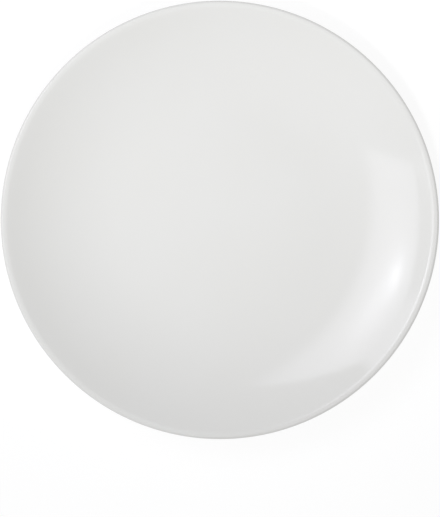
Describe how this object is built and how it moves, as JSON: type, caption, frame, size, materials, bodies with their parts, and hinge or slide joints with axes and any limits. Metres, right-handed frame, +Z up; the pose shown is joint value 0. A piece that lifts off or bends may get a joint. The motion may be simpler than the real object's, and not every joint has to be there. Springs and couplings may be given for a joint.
{
  "type": "coupe dessert plate",
  "caption": "Round white glazed coupe plate: a flat floor sweeps up to a plain rounded lip, on a low bare foot ring. Holds a dessert or a small serving.",
  "frame": {"origin": "centre of the foot ring's standing face, on the table", "axes": "+Z up along the plate's axis of revolution; X and Y across the plate, where all directions are alike"},
  "size_m": [0.21, 0.21, 0.0224],
  "materials": {
    "fired_body": "unglazed vitrified body, ground smooth on the foot, matte",
    "white_glaze": "smooth glossy white glaze"
  },
  "bodies": {
    "root": {"plate_body": "fired_body", "outer_glaze": "white_glaze", "foot_well_glaze": "white_glaze"}
  },
  "joints": []
}
